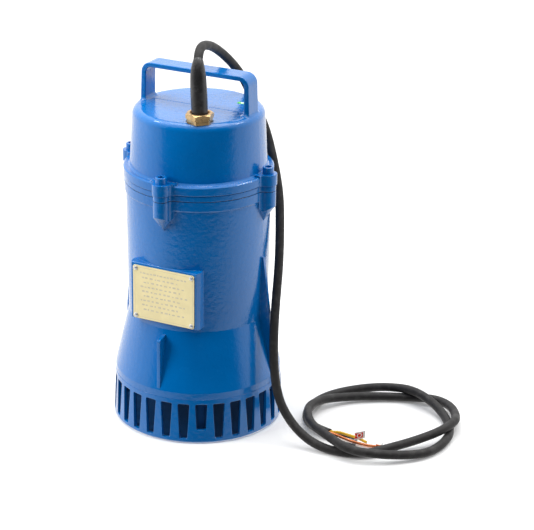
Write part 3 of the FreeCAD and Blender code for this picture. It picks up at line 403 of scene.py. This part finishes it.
def add_tag():
    """A small folded paper flag: white edge, red field and a pale round mark."""
    corner = Vector((207.4, -2.6, 4.6))
    along = Vector((0.879, 0.429, 0.24))
    upward = Vector((0.03, 0.0, 1.0))
    outward = Vector((0.436, -0.9, 0.0))
    across = 8

    def point(u, v, lift):
        curl = 0.9 * math.sin(u * 2.6) * (1.0 - 0.5 * v)
        return corner + along * (13.0 * u) + upward * (9.6 * v) + outward * (curl + lift)

    def panel(name, low, high, foot, top, lift, thick, finish, notch=0.0):
        corners = []
        for k in range(across + 1):
            u = low + (high - low) * k / across
            for v in (foot, (foot + top) / 2, top):
                pull = notch * (1.0 - k / across) if v == (foot + top) / 2 else 0.0
                corners.append(point(u + pull, v, lift))
                corners.append(point(u + pull, v, lift - thick))
        faces = []
        for k in range(across):
            a = 6 * k
            for row in (0, 2):
                faces.append((a + row, a + row + 6, a + row + 8, a + row + 2))
                faces.append((a + row + 1, a + row + 3, a + row + 9, a + row + 7))
            faces.append((a, a + 1, a + 7, a + 6))
            faces.append((a + 4, a + 10, a + 11, a + 5))
        last = 6 * across
        faces += [(0, 2, 3, 1), (2, 4, 5, 3), (last, last + 1, last + 3, last + 2),
                  (last + 2, last + 3, last + 5, last + 4)]
        return mesh_piece(name, corners, faces, finish)

    sheet = ride(panel("tag_sheet", 0.0, 1.0, 0.0, 1.0, 0.0, 0.3, FINISHES["tag_white"], 0.1),
                 "tag_red", "core_tag")
    field = ride(panel("tag_field", 0.02, 0.80, 0.16, 0.86, 0.08, 0.06, FINISHES["tag_red"], 0.1),
                 "tag_red")
    ring = []
    faces = []
    count = 20
    for k in range(count):
        turn = 2 * math.pi * k / count
        for size in (0.16, 0.24):
            u = 0.47 + size * math.cos(turn)
            v = 0.52 + size * 1.25 * math.sin(turn)
            ring.append(point(u, v, 0.14))
            ring.append(point(u, v, 0.1))
        a = 4 * k
        b = 4 * ((k + 1) % count)
        faces += [(a, b, b + 2, a + 2), (a, a + 1, b + 1, b), (a + 2, b + 2, b + 3, a + 3)]
    emblem = ride(mesh_piece("tag_ring", ring, faces, FINISHES["tag_white"]), "tag_red")
    return [sheet, field, emblem]


add_sleeve()
add_cable()


# ---------------------------------------------------------------- plate and sticker
PLATE_FACE = -85.4
PRINT_ROOT = -85.2
STICKER_TOP = 381.26


def flat_block(corners, faces, low, high, thick):
    """Add a thin block facing -Y, from its low to its high (x, z), to a mesh list."""
    start = len(corners)
    for y in (PRINT_ROOT, PLATE_FACE - thick):
        corners += [(low[0], y, low[1]), (high[0], y, low[1]), (high[0], y, high[1]),
                    (low[0], y, high[1])]
    for side in ((4, 5, 6, 7), (0, 1, 5, 4), (1, 2, 6, 5), (2, 3, 7, 6), (3, 0, 4, 7)):
        faces.append(tuple(start + corner for corner in side))


def add_plate_marks():
    """A thin border and rows of short unreadable strokes on the nameplate."""
    corners = []
    faces = []
    left, right, foot, top = -37.6, 37.6, 144.8, 206.2
    line = 0.35
    for low, high in (((left, foot), (right, foot + line)), ((left, top - line), (right, top)),
                      ((left, foot), (left + line, top)), ((right - line, foot), (right, top))):
        flat_block(corners, faces, low, high, 0.05)
    ride(mesh_piece("plate_border", corners, faces, FINISHES["plate_print"]), "plate_brass")
    corners = []
    faces = []
    for row in range(9):
        z = 199.0 - 5.6 * row
        x = -30.0 + 2.0 * (row % 3)
        step = 0
        while x < 29.0 - 9.0 * (row % 2):
            length = 1.6 + 2.4 * abs(math.sin(3.7 * row + 1.9 * step))
            height = 1.2 + 0.8 * abs(math.cos(2.3 * row + 0.7 * step))
            flat_block(corners, faces, (x, z), (x + length, z + height), 0.03)
            x += length + 1.3 + 1.8 * abs(math.sin(1.1 * row * step))
            step += 1
    ride(mesh_piece("plate_strokes", corners, faces, FINISHES["plate_print"]), "plate_brass")


def disc_piece(name, x, y, radius, finish):
    """A thin round spot on top of the sticker."""
    count = 20
    corners = []
    for level in (STICKER_TOP - 0.1, STICKER_TOP):
        for k in range(count):
            turn = 2 * math.pi * k / count
            corners.append((x + radius * math.cos(turn), y + radius * math.sin(turn), level))
    faces = [tuple(range(count, 2 * count))]
    faces += [(k, (k + 1) % count, count + (k + 1) % count, count + k) for k in range(count)]
    ride(mesh_piece(name, corners, faces, finish), "sticker")


add_plate_marks()
disc_piece("sticker_spot", 39.6, 31.4, 2.0, FINISHES["tag_white"])
disc_piece("sticker_dot", 35.6, 29.6, 0.8, FINISHES["core_black"])


# ---------------------------------------------------------------- studio
def add_floor():
    """A white table, left out of the light that the pump's own surfaces gather."""
    reach = 9.0
    mesh = bpy.data.meshes.new("studio_floor")
    corners = [(-reach, -reach, 0), (reach, -reach, 0), (reach, reach, 0), (-reach, reach, 0)]
    mesh.from_pydata(corners, [], [(0, 1, 2, 3)])
    floor = bpy.data.objects.new("studio_floor", mesh)
    floor.visible_glossy = False
    floor.visible_diffuse = False
    scene.collection.objects.link(floor)
    shader = Shader("floor_white")
    shader.set(Base_Color=(0.75, 0.75, 0.75, 1.0), Roughness=1.0, Emission_Color=(1, 1, 1, 1),
               Emission_Strength=0.12, Specular_IOR_Level=0.0)
    mesh.materials.append(shader.material)


def add_world():
    """Softbox walls at the sides and back, and dark on the camera's side."""
    world = bpy.data.worlds.new("studio")
    world.use_nodes = True
    scene.world = world
    tree = world.node_tree

    def node(kind, **inputs):
        item = tree.nodes.new("ShaderNode" + kind)
        for name, value in inputs.items():
            socket = item.inputs[int(name[1:])] if name[1:].isdigit() else item.inputs[name]
            if isinstance(value, bpy.types.NodeSocket):
                tree.links.new(value, socket)
            else:
                socket.default_value = value
        return item

    def ramp(value, low, high, out_low, out_high):
        item = node("MapRange", Value=value)
        item.interpolation_type = "SMOOTHSTEP"
        for name, number in (("From Min", low), ("From Max", high), ("To Min", out_low),
                             ("To Max", out_high)):
            item.inputs[name].default_value = number
        return item.outputs["Result"]

    def add(a, b):
        return node("Math", _0=a, _1=b).outputs["Value"]

    direction = node("TexCoord").outputs["Generated"]
    turned = node("VectorMath", _0=direction, _1=(-0.436, 0.900, 0.0))
    turned.operation = "DOT_PRODUCT"
    height = node("SeparateXYZ", Vector=direction).outputs["Z"]
    lowness = ramp(height, -0.50, -0.24, 0.52, 0.0)
    away = add(turned.outputs["Value"], lowness)
    walls = add(ramp(away, -0.56, -0.30, 0.0, 0.75), ramp(away, -0.30, 0.30, 0.0, 0.4))
    roof = ramp(height, 0.55, 0.85, 0.0, 0.7)
    background = tree.nodes["Background"]
    background.inputs["Color"].default_value = (1, 1, 1, 1)
    tree.links.new(add(walls, roof), background.inputs["Strength"])


def add_area(name, place, target, size, power, mirrored=True):
    """A softbox; one that isn't mirrored only lights the surfaces."""
    data = bpy.data.lights.new(name, "AREA")
    data.shape = "RECTANGLE"
    data.size, data.size_y = size
    data.energy = power
    light = bpy.data.objects.new(name, data)
    light.location = place
    aim = Vector(target) - Vector(place)
    light.rotation_euler = aim.to_track_quat("-Z", "Y").to_euler()
    light.visible_glossy = mirrored
    scene.collection.objects.link(light)


add_floor()
add_world()
add_area("overhead", (0.0, 0.5, 2.3), (0, 0, 0.1), (2.2, 1.2), 18.0)
add_area("key_left", (-1.5, -1.3, 1.3), (0, 0, 0.2), (1.2, 1.2), 38.0, mirrored=False)
add_area("key_right", (1.9, 0.5, 1.1), (0, 0, 0.2), (1.2, 1.2), 7.0, mirrored=False)
add_area("fill_front", (0.9, -1.7, 0.8), (0, 0, 0.15), (1.0, 1.0), 3.0, mirrored=False)
add_area("streak_top", (0.1, -0.1, 2.2), (0, 0, 0.4), (0.5, 0.12), 4.0)
add_area("streak_left", (-1.2, 0.0, 1.9), (0, 0, 0.4), (0.3, 0.3), 4.0)
add_area("streak_right", (1.2, 0.8, 1.9), (0, 0, 0.4), (0.3, 0.3), 4.0)
scene.view_settings.view_transform = "Standard"
